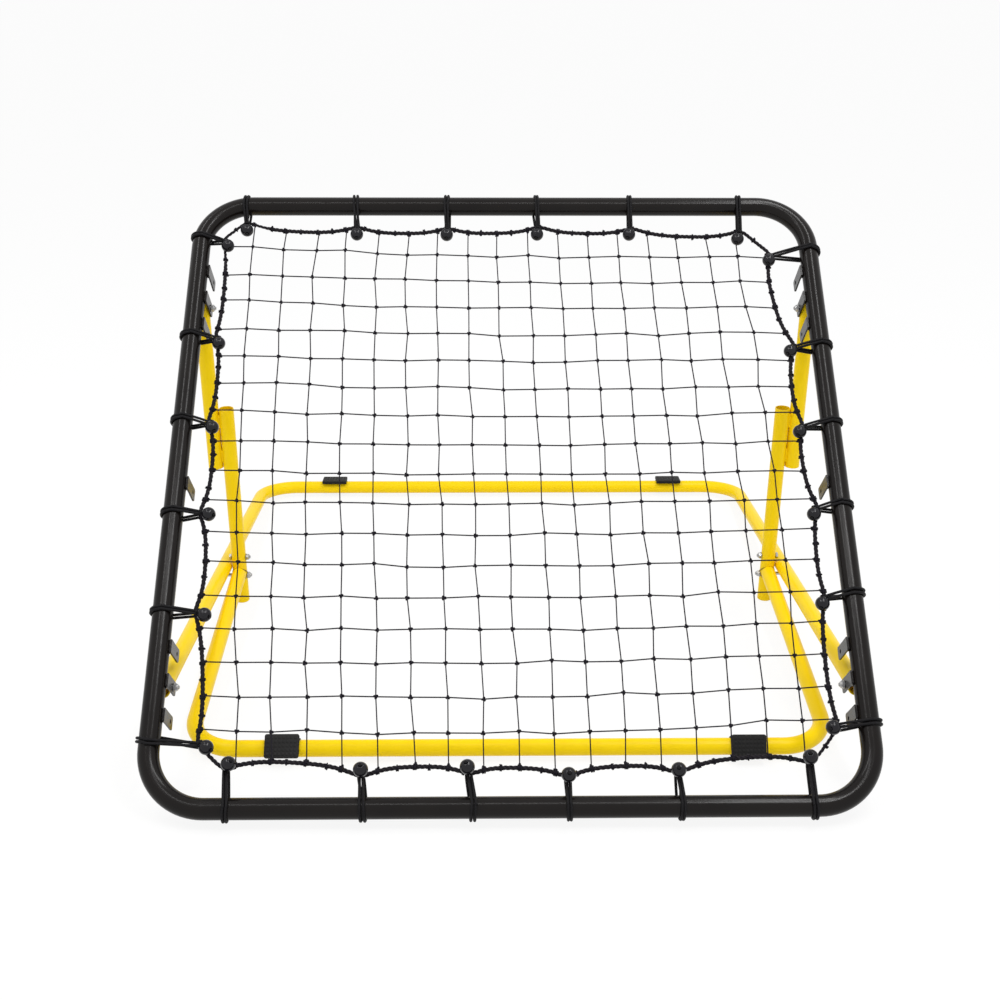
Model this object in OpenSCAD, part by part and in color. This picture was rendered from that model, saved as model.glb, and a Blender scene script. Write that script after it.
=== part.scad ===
// Tilted ball rebounder: a square net frame carried on a two-part tubular stand.
// Millimetres, +Z up, +Y from the net's low front edge to the back bar, +X to the right.
// The origin lies on the floor, under the middle of the whole object.

/* [Net frame] */
// Side of the square net frame, between the axes of its tubes
frame_size = 1000; // [900:10:1100]
// Outside diameter of the net frame's tube
frame_tube_d = 30; // [28:0.5:32]
// Wall of the net frame's tube
frame_wall = 1.5; // [1:0.1:2.5]
// Radius of the frame's corner bends, to the tube's axis
frame_bend_r = 82; // [60:1:110]
// Tilt of the net above the floor, in degrees
net_tilt = 41; // [38:0.5:43]

/* [Tabs] */
// Distance along the side tube from its middle to the tab in use
tab_reach = 320; // [300:5:330]
// Distance of the single tab below the middle of its side
middle_tab_low = 12; // [0:1:20]
// Distance between neighbouring tabs
tab_pitch = 50; // [40:2:60]
// Width of a tab along the tube
tab_w = 20; // [16:1:24]
// Thickness of a tab
tab_t = 2.5; // [2:0.5:4]
// Distance from the tube's axis back to the holes in the tabs
tab_hole_back = 32; // [32:0.5:36]
// Metal beyond the hole at a tab's free end
tab_end = 14; // [10:1:18]
// Gap between a tab and the side of its tube, filled by the weld bead
tab_weld_gap = 1; // [1:0.1:2]

/* [Stand] */
// Outside diameter of the stand's tubes
stand_tube_d = 25; // [22:0.5:26]
// Wall of the stand's tubes
stand_wall = 1.5; // [1:0.1:2.5]
// Distance between the axes of the front and back bars
base_depth = 950; // [900:10:1000]
// Distance from the front bar's axis back to the posts
post_back = 488; // [470:2:500]
// Height of the bolts that hold the net frame to the struts
upper_pivot_z = 541; // [525:1:560]
// Height of the open tops of the posts
post_top_z = 367; // [340:5:390]
// Height of the lower ends of the struts
strut_low_z = 260; // [240:5:280]
// Height at which the front base meets the posts
front_joint_z = 58; // [50:1:62]
// Radius of the base tubes' corner bends, to the tube's axis
base_bend_r = 70; // [50:5:90]
// Length of tube beyond a pivot bolt
tube_over = 10; // [9:0.5:11]
// Height of the posts' lower ends above the floor
post_clear = 1; // [0.5:0.5:3]

/* [Fasteners] */
// Diameter of the bolts
bolt_d = 6; // [5:1:8]
// Distance between the upper and the lower bolt of a post
post_bolt_pitch = 36; // [36:0.5:38]
// Distance from the back base's arm out to the head of the bolt under it
arm_head_gap = 5; // [1:0.5:8]
// Diameter of the washers
washer_d = 12; // [11:1:14]
// Thickness of the washers
washer_t = 1.2; // [1:0.1:1.6]
// Width across the flats of the nuts and bolt heads
nut_flats = 10; // [9:1:13]
// Thickness of the nuts
nut_t = 5; // [4:0.5:6]
// Thickness of the bolt heads
head_t = 4; // [3:0.5:6]
// Thread that stands out of a nut
thread_out = 2; // [1:0.5:4]

/* [Feet] */
// Length of a rubber foot along its bar
foot_l = 50; // [40:2:70]
// Height of a bar above the floor, where its feet's soles hold it
foot_t = 6.5; // [5:0.5:9]
// Width of a foot's pad round its bar
pad_w = 35; // [30:1:38]
// Thickness of the pad
pad_t = 6; // [4:0.5:7]
// Thickness of the clip that holds the pad on its bar
clip_t = 2.5; // [2:0.5:4]
// Width of the flat sole under a foot, behind the bar's axis
foot_sole = 11; // [9:0.5:13]
// Distance from the front base's left arm in to the middle of its foot
front_left_inset = 140; // [110:1:180]
// Distance from the front base's right arm in to the middle of its foot
front_right_inset = 123; // [110:1:180]
// Distance from the back base's left arm in to the middle of its foot
back_left_inset = 147; // [110:1:180]
// Distance from the back base's right arm in to the middle of its foot
back_right_inset = 142; // [110:1:180]
// Turn of the front feet's pads up from facing straight forwards, left and right, in degrees
front_left_turn = 47; // [25:1:60]
front_right_turn = 32; // [25:1:60]
// Turn of the back feet's pads, which face up, in degrees
back_turn = 95; // [85:1:105]

/* [Net] */
// Distance between neighbouring cords of the net
net_pitch = 50; // [48:1:70]
// Thickness of the net's cord
net_cord_d = 2.4; // [2:0.2:4]
// Diameter of the rope along the net's border
rope_d = 6.5; // [5:0.5:8]
// Distance from the tube's axis in to the rope, at a tie
rope_inset = 40; // [40:1:54]
// Depth of the rope's bow between ties, as a share of the span
rope_bow = 0.07; // [0.04:0.01:0.16]
// Diameter of the elastic cord
tie_d = 4.6; // [3:0.2:5]
// Gap between the two strands of an elastic tie
tie_gap = 0.3; // [0.3:0.1:2]
// Diameter of the balls on the ties
ball_d = 21; // [18:1:25]

/* [Hidden] */

$fn = 48;

// Colours
black_coat = [0.06, 0.06, 0.06];
yellow_coat = [0.98, 0.82, 0.08];
rubber_black = [0.05, 0.05, 0.05];
cord_black = [0.08, 0.08, 0.09];
zinc = [0.72, 0.73, 0.75];

// Clearances
running_gap = 0.3;      // between pieces that turn against each other
side_gap = 0.5;         // between a post and the tube that runs past it
pivot_gap = 0.05;       // radial, of a pivot bolt in its holes
rod_gap = 0.25;         // radial, of a bolt in the post's holes and in the washers
tie_clear = 0.5;        // between an elastic tie and the tube inside it
seat_gap = 0.3;         // between the net, the rope, the ties and the balls
tie_margin = 2;         // of straight rope on either side of a tie
eps = 0.01;

// Radii
frame_r = frame_tube_d / 2;
stand_r = stand_tube_d / 2;
bolt_r = bolt_d / 2;

// Places across the object, from its middle
tab_outer_x = frame_size / 2 - frame_r - tab_weld_gap;
arm_x = tab_outer_x + running_gap + stand_r;
post_x = arm_x - stand_tube_d - side_gap;

// Heights and places from the front bar's axis back
bar_z = stand_r + foot_t;
up_y = post_back;
up_z = upper_pivot_z;
low_y = up_y - 2 * tab_reach * cos(net_tilt);
low_z = up_z - 2 * tab_reach * sin(net_tilt);

// The back base rises forwards from the back bar to the lower pivots
back_arm_l = norm([base_depth - low_y, low_z - bar_z]);
back_rise = atan((low_z - bar_z) / (base_depth - low_y));
arm_z = bar_z + (base_depth - post_back) * tan(back_rise);

// The front base rises backwards from the front bar to the posts
front_rise = atan((front_joint_z - bar_z) / post_back);

// The origin is under the middle of the whole object
tie_r = frame_r + tie_clear + tie_d / 2;
frame_y = low_y - (frame_size / 2 - tab_reach) * cos(net_tilt) - tab_hole_back * sin(net_tilt);
frame_z = low_z - (frame_size / 2 - tab_reach) * sin(net_tilt) + tab_hole_back * cos(net_tilt);
front_edge = frame_y - tie_r - tie_d / 2;
back_edge = base_depth + stand_r + foot_t;
middle_y = (front_edge + back_edge) / 2;

// Places of the ties in thousandths of a side, clockwise: top, right, bottom, left
tie_shares = [
    [-430, -247, -97, 53, 207, 388],
    [-409, -229, -86, 51, 196, 392],
    [-411, -231, -78, 55, 205, 387],
    [-412, -217, -61, 94, 246, 431]
];
ties_at = [for (shares = tie_shares) [for (share = shares) share / 1000 * frame_size]];

// Frame coordinates: X across, Y up along the net, Z out of the net towards the player
module in_frame() {
    translate([0, frame_y - middle_y, frame_z])
        rotate([net_tilt, 0, 0])
            translate([0, frame_size / 2, 0])
                children();
}

// Stand coordinates: y is counted from the front bar's axis
module in_stand() {
    translate([0, -middle_y, 0]) children();
}

module pair() {
    children();
    mirror([1, 0, 0]) children();
}

// A rod along X, from x0 to x1
module rod_x(x0, x1, r, sides = $fn) {
    translate([x0, 0, 0]) rotate([0, 90, 0]) cylinder(r = r, h = x1 - x0, $fn = sides);
}

// A quarter bend in the XY plane about the origin, from +X to +Y
module bend(bend_r, r) {
    rotate_extrude(angle = 90) translate([bend_r, 0]) circle(r = r);
}

// Solid path of a U: cross bar along X at y = 0, arms along +Y, rounded corners
module u_path(half_w, arm_l, bend_r, r, over = 0) {
    rod_x(bend_r - half_w, half_w - bend_r, r);
    pair() {
        translate([half_w - bend_r, bend_r, 0]) mirror([0, 1, 0]) bend(bend_r, r);
        translate([half_w, bend_r, 0]) rotate([-90, 0, 0]) cylinder(r = r, h = arm_l - bend_r + over);
    }
}

// Solid path of a square ring with rounded corners, about its middle
module ring_path(size, bend_r, r) {
    run = size / 2 - bend_r;
    for (turn = [0:3])
        rotate([0, 0, 90 * turn]) {
            translate([0, size / 2, 0]) rod_x(-run, run, r);
            translate([run, run, 0]) bend(bend_r, r);
        }
}

// ---- Net frame ----

module net_frame_tube() {
    color(black_coat) in_frame() difference() {
        ring_path(frame_size, frame_bend_r, frame_r);
        ring_path(frame_size, frame_bend_r, frame_r - frame_wall);
    }
}

// One tab on the right-hand tube at height v, with its weld bead
module tab(v) {
    bead_r = tab_weld_gap + 1;
    tab_in = frame_r / 3;
    tab_l = tab_hole_back + tab_end + tab_in;
    difference() {
        union() {
            translate([tab_outer_x - tab_t, v - tab_w / 2, tab_in - tab_l])
                cube([tab_t, tab_w, tab_l]);
            translate([tab_outer_x, v + tab_w / 2, tab_in - bead_r]) rotate([90, 0, 0])
                cylinder(r = bead_r, h = tab_w);
        }
        translate([frame_size / 2, v + tab_w, 0]) rotate([90, 0, 0])
            cylinder(r = frame_r, h = 2 * tab_w);
        translate([0, v, -tab_hole_back])
            rod_x(tab_outer_x - 2 * tab_t, tab_outer_x + tab_t, bolt_r + pivot_gap);
    }
}

module tab_row(middle) {
    for (step = [-1:1]) tab(middle + step * tab_pitch);
}

module right_upper_tabs() { color(black_coat) in_frame() tab_row(tab_reach); }
module right_middle_tab() { color(black_coat) in_frame() tab(-middle_tab_low); }
module right_lower_tabs() { color(black_coat) in_frame() tab_row(-tab_reach); }
module left_upper_tabs() { mirror([1, 0, 0]) right_upper_tabs(); }
module left_middle_tab() { mirror([1, 0, 0]) right_middle_tab(); }
module left_lower_tabs() { mirror([1, 0, 0]) right_lower_tabs(); }

// ---- Net, rope and ties ----

function turned(p, angle) =
    [p[0] * cos(angle) - p[1] * sin(angle), p[0] * sin(angle) + p[1] * cos(angle)];

// Lean of the tube at distance u from the middle of a side: it starts on the corner bend
function lean_at(u) =
    sign(u) * asin(max(0, abs(u) - (frame_size / 2 - frame_bend_r)) / frame_bend_r);

// A tie's place on the tube and on the rope, in the axes of its own side
function on_tube(u) = [u, frame_size / 2 - frame_bend_r * (1 - cos(lean_at(u)))];
function on_rope(u) = on_tube(u) - rope_inset * [sin(lean_at(u)), cos(lean_at(u))];

// The rope runs straight through each tie, and a little further either way
tie_pitch = tie_d + tie_gap;
tie_seat = tie_pitch / 2 + tie_d / 2 + tie_margin;
function rope_end(side, u, way) =
    turned(on_rope(u) + way * tie_seat * [cos(lean_at(u)), -sin(lean_at(u))], -90 * side);
rope_ends = [
    for (side = [0:3]) for (u = ties_at[side])
        [rope_end(side, u, -1), rope_end(side, u, 1)]
];

// Between two ties the rope bows in towards the middle of the net
rope_steps = 4;
function rope_span(a, b) =
    let (along = b - a, inward = [along[1], -along[0]])
    [for (k = [0:rope_steps - 1])
        let (s = k / rope_steps)
        a + along * s + inward * (4 * rope_bow * s * (1 - s))];
rope_points = [
    for (i = [0:len(rope_ends) - 1])
        each concat(
            [rope_ends[i][0]],
            rope_span(rope_ends[i][1], rope_ends[(i + 1) % len(rope_ends)][0])
        )
];

// The first two of a span's points are the two ends of a tie's straight
function place_in_span(i) = i % (rope_steps + 1);

// The way out of the net, square to the rope at its point i
function rope_out(i) =
    let (
        count = len(rope_points),
        to = place_in_span(i) == 1 ? i : i + 1,
        from = place_in_span(i) == 0 ? i : i + count - 1,
        ahead = rope_points[to % count] - rope_points[from % count]
    )
    [-ahead[1], ahead[0]] / norm(ahead);

// The rope's line, drawn in by a distance, and by more where it passes a tie
function rope_line(drawn_in, at_tie) =
    [for (i = [0:len(rope_points) - 1])
        rope_points[i] - rope_out(i) * (place_in_span(i) < 2 ? at_tie : drawn_in)];

module border_rope() {
    sides = 8;
    count = len(rope_points);
    rings = [
        for (i = [0:count - 1]) for (k = [0:sides - 1])
            let (
                a = 360 * (k + 0.5) / sides,
                at = rope_points[i] + rope_out(i) * (rope_d / 2 * cos(a))
            )
            [at[0], at[1], rope_d / 2 * sin(a)]
    ];
    faces = [
        for (i = [0:count - 1]) for (k = [0:sides - 1])
            let (
                here = i * sides,
                next = ((i + 1) % count) * sides,
                up = (k + 1) % sides
            )
            each [[here + k, next + up, here + up], [here + k, next + k, next + up]]
    ];
    color(cord_black) in_frame() polyhedron(rings, faces);
}

// A flat square net inside the rope; its own border cord passes inside every tie
module net_mesh() {
    edge = rope_d / 2 + seat_gap;
    tie_edge = edge + tie_d + seat_gap;
    half = frame_size / 2 - rope_inset;
    outermost = floor(half / net_pitch - 0.5);
    color(cord_black) in_frame() translate([0, 0, -net_cord_d / 2])
        linear_extrude(net_cord_d) difference() {
            polygon(rope_line(edge, tie_edge));
            difference() {
                polygon(rope_line(edge + net_cord_d, tie_edge + net_cord_d));
                for (turn = [0, 90]) rotate(turn)
                    for (i = [-outermost:outermost]) translate([i * net_pitch, 0])
                        square([net_cord_d, frame_size], center = true);
            }
        }
}

// One strand of an elastic tie: a loop round the tube and the rope, in the XY plane.
// The tube's axis is at the origin, and the rope's lies along -Y.
small_r = rope_d / 2 + seat_gap + tie_d / 2;
tie_lean = asin((tie_r - small_r) / rope_inset);
module loop_outline(grow) {
    big = tie_r + grow;
    small = small_r + grow;
    circle(r = big);
    translate([0, -rope_inset]) circle(r = small);
    polygon([
        [big * cos(tie_lean), -big * sin(tie_lean)],
        [small * cos(tie_lean), -rope_inset - small * sin(tie_lean)],
        [-small * cos(tie_lean), -rope_inset - small * sin(tie_lean)],
        [-big * cos(tie_lean), -big * sin(tie_lean)]
    ]);
}

module strand() {
    translate([0, 0, -tie_d / 2]) linear_extrude(tie_d) difference() {
        loop_outline(tie_d / 2);
        loop_outline(-tie_d / 2);
    }
}

// Two strands side by side, round a tube that lies along X
module tie() {
    for (side = [-1, 1]) translate([side * tie_pitch / 2, 0, 0]) rotate([0, 90, 0]) strand();
}

// The ball stands in front of the rope, further in, and rests on the strands
ball_in = 13;
module tie_ball() {
    seat = rope_d / 2 + 2 * seat_gap + tie_d + ball_d / 2;
    translate([0, -rope_inset - ball_in, sqrt(pow(seat, 2) - pow(ball_in, 2))]) sphere(d = ball_d);
}

module at_ties(side) {
    in_frame() rotate([0, 0, -90 * side])
        for (u = ties_at[side])
            translate([on_tube(u)[0], on_tube(u)[1], 0]) rotate([0, 0, -lean_at(u)]) children();
}

module top_ties() { color(cord_black) at_ties(0) tie(); }
module right_ties() { color(cord_black) at_ties(1) tie(); }
module bottom_ties() { color(cord_black) at_ties(2) tie(); }
module left_ties() { color(cord_black) at_ties(3) tie(); }
module top_tie_balls() { color(cord_black) at_ties(0) tie_ball(); }
module right_tie_balls() { color(cord_black) at_ties(1) tie_ball(); }
module bottom_tie_balls() { color(cord_black) at_ties(2) tie_ball(); }
module left_tie_balls() { color(cord_black) at_ties(3) tie_ball(); }

// ---- Stand ----

module front_base_tube() {
    color(yellow_coat) in_stand() difference() {
        translate([0, 0, bar_z]) rotate([front_rise, 0, 0])
            u_path(post_x, post_back / cos(front_rise), base_bend_r, stand_r);
        translate([0, 0, bar_z]) rotate([front_rise, 0, 0])
            u_path(post_x, post_back / cos(front_rise), base_bend_r, stand_r - stand_wall, eps);
        pair() translate([post_x, post_back, 0]) cylinder(r = stand_r, h = 2 * front_joint_z);
    }
}

module right_post() {
    color(yellow_coat) in_stand() difference() {
        translate([post_x, post_back, post_clear]) cylinder(r = stand_r, h = post_top_z - post_clear);
        translate([post_x, post_back, 0]) cylinder(r = stand_r - stand_wall, h = post_top_z + 1);
        for (side = [-1, 1]) translate([0, post_back, arm_z + side * post_bolt_pitch / 2])
            rod_x(post_x - stand_tube_d, post_x + stand_tube_d, bolt_r + rod_gap);
    }
}
module left_post() { mirror([1, 0, 0]) right_post(); }

// The strut is welded beside the post, with a bead at each end of the lap
lap_bead_l = 18;
lap_bead_end = 12;
module right_strut() {
    strut_top = up_z + tube_over;
    bead_r = stand_r / 3;
    bead_back = (stand_r - bead_r) / 2;
    color(yellow_coat) in_stand() difference() {
        union() {
            translate([arm_x, post_back, strut_low_z]) cylinder(r = stand_r, h = strut_top - strut_low_z);
            for (z = [strut_low_z + lap_bead_end, post_top_z - lap_bead_end - lap_bead_l])
                for (side = [-1, 1])
                    translate([arm_x - stand_r - side_gap / 2, post_back + side * bead_back, z])
                        cylinder(r = bead_r, h = lap_bead_l);
        }
        translate([post_x, post_back, 0]) cylinder(r = stand_r, h = 2 * post_top_z);
        translate([arm_x, post_back, 0]) cylinder(r = stand_r - stand_wall, h = 2 * strut_top);
        translate([0, post_back, up_z]) rod_x(arm_x - stand_tube_d, arm_x + stand_tube_d, bolt_r + pivot_gap);
    }
}
module left_strut() { mirror([1, 0, 0]) right_strut(); }

// The back base: its arms end just past the lower pivots
module back_base_tube() {
    color(yellow_coat) in_stand() difference() {
        back_frame() u_path(arm_x, back_arm_l, base_bend_r, stand_r, tube_over);
        back_frame() u_path(arm_x, back_arm_l, base_bend_r, stand_r - stand_wall, tube_over + 1);
        pair() translate([0, low_y, low_z])
            rod_x(arm_x - stand_tube_d, arm_x + stand_tube_d, bolt_r + pivot_gap);
    }
}
module back_frame() {
    translate([0, base_depth, bar_z]) mirror([0, 1, 0]) rotate([back_rise, 0, 0]) children();
}

// ---- Feet ----

// A rubber foot on a bar along X: a flat pad against the bar, and a clip round the bar's back
// that ends in a flat sole on the floor. The bar's lower front is bare.
module foot(pad_turn, bore_r, sole_near) {
    translate([0, 0, bar_z]) rotate([90, 0, 90])
        linear_extrude(foot_l, center = true) difference() {
            union() {
                rotate(180 - pad_turn) translate([stand_r, -pad_w / 2]) square([pad_t, pad_w]);
                difference() {
                    union() {
                        circle(r = stand_r + clip_t);
                        translate([sole_near, -bar_z]) square([foot_sole, bar_z]);
                    }
                    translate([sole_near - 2 * bar_z, -2 * bar_z]) square(2 * bar_z);
                }
            }
            circle(r = bore_r);
        }
}

// The front bar turns in its feet; the back feet grip their bar
front_sole_near = 4;
module front_foot(pad_turn) {
    foot(pad_turn, stand_r + running_gap, front_sole_near);
}

module back_foot() {
    translate([0, base_depth, 0]) foot(back_turn, stand_r, stand_r + foot_t - foot_sole);
}

module front_left_foot() {
    color(rubber_black) in_stand()
        translate([front_left_inset - post_x, 0, 0]) front_foot(front_left_turn);
}

module front_right_foot() {
    color(rubber_black) in_stand()
        translate([post_x - front_right_inset, 0, 0]) front_foot(front_right_turn);
}

module back_left_foot() {
    color(rubber_black) in_stand() translate([back_left_inset - arm_x, 0, 0]) back_foot();
}

module back_right_foot() {
    color(rubber_black) in_stand() translate([arm_x - back_right_inset, 0, 0]) back_foot();
}

// ---- Fasteners ----

module hex_x(x0, x1) {
    rod_x(x0, x1, nut_flats / 2 / cos(30), 6);
}

// A bolt along X, with its thread's end at x0 and the underside of its head at x1
module bolt_x(x0, x1) {
    rod_x(x0, x1, bolt_r);
    hex_x(x1, x1 + head_t);
}

post_in_x = post_x - stand_r;
tab_in_x = tab_outer_x - tab_t - running_gap;
arm_out_x = arm_x + stand_r;

// The back base's arm passes between the two bolts of each post: the upper one ends at the
// post, and the lower one goes on under the arm, which rests on it
module right_post_bolts() {
    thread_x = post_in_x - washer_t - nut_t - thread_out;
    color(zinc) in_stand() translate([0, post_back, arm_z]) {
        translate([0, 0, post_bolt_pitch / 2]) bolt_x(thread_x, post_x + stand_r);
        translate([0, 0, -post_bolt_pitch / 2]) bolt_x(thread_x, arm_out_x + arm_head_gap);
    }
}
module left_post_bolts() { mirror([1, 0, 0]) right_post_bolts(); }

module at_post_bolts() {
    in_stand() pair() for (side = [-1, 1])
        translate([0, post_back, arm_z + side * post_bolt_pitch / 2]) children();
}

module post_bolt_washers() {
    color(zinc) at_post_bolts() difference() {
        rod_x(post_in_x - washer_t, post_in_x, washer_d / 2);
        rod_x(post_in_x - 2 * washer_t, post_in_x + 1, bolt_r + rod_gap);
    }
}

module post_bolt_nuts() {
    color(zinc) at_post_bolts() difference() {
        hex_x(post_in_x - washer_t - nut_t, post_in_x - washer_t);
        rod_x(post_in_x - 2 * nut_t, post_in_x, bolt_r);
    }
}

module at_pivots(y, z) {
    in_stand() pair() translate([0, y, z]) children();
}

// A bolt from outside, through the tube and the tab, to a nut on the inner side
module pivot_bolt() {
    bolt_x(tab_in_x - washer_t - nut_t - thread_out, arm_out_x + washer_t);
}

module pivot_washers() {
    for (x = [tab_in_x - washer_t, arm_out_x]) difference() {
        rod_x(x, x + washer_t, washer_d / 2);
        rod_x(x - 1, x + 2 * washer_t, bolt_r + rod_gap);
    }
}

module pivot_nut() {
    difference() {
        hex_x(tab_in_x - washer_t - nut_t, tab_in_x - washer_t);
        rod_x(tab_in_x - 2 * nut_t, tab_in_x, bolt_r);
    }
}

module upper_pivot_bolts() { color(zinc) at_pivots(up_y, up_z) pivot_bolt(); }
module upper_pivot_washers() { color(zinc) at_pivots(up_y, up_z) pivot_washers(); }
module upper_pivot_nuts() { color(zinc) at_pivots(up_y, up_z) pivot_nut(); }
module lower_pivot_bolts() { color(zinc) at_pivots(low_y, low_z) pivot_bolt(); }
module lower_pivot_washers() { color(zinc) at_pivots(low_y, low_z) pivot_washers(); }
module lower_pivot_nuts() { color(zinc) at_pivots(low_y, low_z) pivot_nut(); }

front_left_foot();
front_right_foot();
front_base_tube();
left_post();
right_post();
left_strut();
right_strut();
left_post_bolts();
right_post_bolts();
post_bolt_washers();
post_bolt_nuts();
upper_pivot_bolts();
upper_pivot_washers();
upper_pivot_nuts();
net_frame_tube();
left_upper_tabs();
left_middle_tab();
left_lower_tabs();
right_upper_tabs();
right_middle_tab();
right_lower_tabs();
net_mesh();
border_rope();
top_ties();
bottom_ties();
left_ties();
right_ties();
top_tie_balls();
bottom_tie_balls();
left_tie_balls();
right_tie_balls();
back_base_tube();
back_left_foot();
back_right_foot();
lower_pivot_bolts();
lower_pivot_washers();
lower_pivot_nuts();
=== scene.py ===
import random
from math import acos, asin, atan2, copysign, cos, floor, hypot, pi, radians, sin, sqrt, tan

import bmesh
import bpy
from mathutils import Matrix, Quaternion, Vector


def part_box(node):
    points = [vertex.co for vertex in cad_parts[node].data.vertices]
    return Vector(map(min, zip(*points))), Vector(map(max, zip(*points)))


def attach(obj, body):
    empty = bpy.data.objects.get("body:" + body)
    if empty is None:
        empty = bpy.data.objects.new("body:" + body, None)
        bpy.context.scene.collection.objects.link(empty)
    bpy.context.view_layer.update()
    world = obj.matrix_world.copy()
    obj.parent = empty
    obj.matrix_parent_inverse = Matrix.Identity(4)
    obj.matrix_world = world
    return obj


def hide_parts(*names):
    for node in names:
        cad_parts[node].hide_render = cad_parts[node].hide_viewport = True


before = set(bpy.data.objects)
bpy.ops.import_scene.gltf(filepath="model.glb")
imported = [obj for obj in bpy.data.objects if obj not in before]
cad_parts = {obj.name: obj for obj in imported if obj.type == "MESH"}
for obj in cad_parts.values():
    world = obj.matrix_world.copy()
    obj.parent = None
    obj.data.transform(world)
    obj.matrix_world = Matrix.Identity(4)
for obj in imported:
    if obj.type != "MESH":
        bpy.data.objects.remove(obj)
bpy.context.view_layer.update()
mm = 0.001
print("frame loaded:", len(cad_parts), "CAD nodes")


# The tubes of the net frame and of the stand
tubes = {
    "frameRadius": 15 * mm, "frameBend": 82 * mm, "frameSides": 64,
    "standRadius": 12.5 * mm, "standBend": 70 * mm, "standSides": 56, "wall": 1.5 * mm, "lip": 0.3 * mm,
}
frameRadius, standRadius = tubes["frameRadius"], tubes["standRadius"]

frameLow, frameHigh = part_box("net_frame_tube")
bottomAxis = Vector((0, frameLow.y + frameRadius, frameLow.z + frameRadius))
topAxis = Vector((0, frameHigh.y - frameRadius, frameHigh.z - frameRadius))
netCentre = (bottomAxis + topAxis) / 2
netUp = (topAxis - bottomAxis).normalized()
netAcross = Vector((1, 0, 0))
netFront = netAcross.cross(netUp)
halfFrame = (topAxis - bottomAxis).length / 2

baseLow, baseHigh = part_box("front_base_tube")
frontBarY = baseLow.y + standRadius
barZ = baseLow.z + standRadius


def onNet(x, v, n=0.0):
    # across, up along the net, and out of it towards the player
    return netCentre + netAcross * x + netUp * v + netFront * n


# The camera: its place, and its angles in degrees
view = {
    "lens": 47.47, "sensor": 36, "x": -0.0419, "beforeFrontBar": 1.6113, "z": 1.1417,
    "pitch": 24.239, "yaw": 0.919, "roll": -0.248,
}


def link(thing):
    bpy.context.scene.collection.objects.link(thing)


def placeCamera():
    pitch, yaw, roll = (radians(view[k]) for k in ("pitch", "yaw", "roll"))
    ahead = Vector((sin(yaw) * cos(pitch), cos(yaw) * cos(pitch), -sin(pitch)))
    right = ahead.cross(Vector((0, 0, 1))).normalized()
    up = right.cross(ahead)
    turn = Quaternion(ahead, roll)
    right.rotate(turn)
    up.rotate(turn)
    data = bpy.data.cameras.new("camera")
    data.lens = view["lens"]
    data.sensor_width = view["sensor"]
    data.sensor_fit = "HORIZONTAL"
    camera = bpy.data.objects.new("camera", data)
    rotation = Matrix((right, up, -ahead)).transposed().to_4x4()
    place = Vector((view["x"], frontBarY - view["beforeFrontBar"], view["z"]))
    camera.matrix_world = Matrix.Translation(place) @ rotation
    link(camera)
    bpy.context.scene.camera = camera


placeCamera()
print("camera placed")


def arc(radius, start, end, steps):
    # pairs of distances across and up, from one angle to another
    turns = (start + (end - start) * k / steps for k in range(steps + 1))
    return [(radius * cos(a), radius * sin(a)) for a in turns]


def outward(side, up, a):
    # the direction at an angle from side towards up
    return side * cos(a) + up * sin(a)


def makeRing(bm, centre, side, up, radius, sides, along):
    # one ring of a tube; every vertex remembers its place along and around the tube
    alongLayer = bm.verts.layers.float["along"]
    aroundLayer = bm.verts.layers.float_vector["around"]
    ring = []
    for k in range(sides):
        a = 2 * pi * k / sides
        vert = bm.verts.new(centre + outward(side, up, a) * radius)
        vert[alongLayer] = along
        vert[aroundLayer] = Vector((cos(a), sin(a), 0))
        ring.append(vert)
    return ring


def skin(bm, rings, loop=False):
    # faces between rings; a run that isn't a loop is closed at both ends
    pairs = list(zip(rings, rings[1:]))
    if loop:
        pairs.append((rings[-1], rings[0]))
    for a, b in pairs:
        for k in range(len(a)):
            m = (k + 1) % len(a)
            bm.faces.new((a[k], a[m], b[m], b[k]))
    if not loop:
        bm.faces.new(rings[0])
        bm.faces.new(rings[-1])


def directions(points, closed=False, start=None):
    # the heading and two side directions at each point of a path, without twist
    count = len(points)
    headings = []
    for i in range(count):
        before = points[i - 1] if closed or i else points[0]
        after = points[(i + 1) % count] if closed or i < count - 1 else points[-1]
        headings.append((after - before).normalized())
    side = (start or headings[0].orthogonal()).normalized()
    out = []
    for heading in headings:
        side = (side - heading * side.dot(heading)).normalized()
        out.append((heading, side, heading.cross(side)))
    return out


def lengths(points):
    total = [0.0]
    for a, b in zip(points, points[1:]):
        total.append(total[-1] + (b - a).length)
    return total


def sweep(bm, points, radius, sides, closed=False, start=None):
    # a solid cord or rod; radius is one value or one for each point
    along = lengths(points)
    rings = []
    for i, (heading, side, up) in enumerate(directions(points, closed, start)):
        r = radius[i] if isinstance(radius, (list, tuple)) else radius
        rings.append(makeRing(bm, points[i], side, up, r, sides, along[i]))
    skin(bm, rings, closed)


def pipe(bm, points):
    # an open-ended tube of the stand with a slightly rounded rim
    radius, inner, lip = standRadius, standRadius - tubes["wall"], tubes["lip"]
    along = lengths(points)
    frames = directions(points)

    def ringAt(i, r, shift=0.0):
        heading, side, up = frames[i]
        centre = points[i] + heading * shift
        return makeRing(bm, centre, side, up, r, tubes["standSides"], along[i] + shift)

    last = len(points) - 1
    rings = [ringAt(0, inner, lip), ringAt(0, inner + lip), ringAt(0, radius - lip), ringAt(0, radius, lip)]
    rings += [ringAt(i, radius) for i in range(1, last)]
    rings += [ringAt(last, radius, -lip), ringAt(last, radius - lip), ringAt(last, inner + lip)]
    rings += [ringAt(last, inner, -lip)]
    rings += [ringAt(i, inner) for i in range(last - 1, 0, -1)]
    skin(bm, rings, True)


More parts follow.
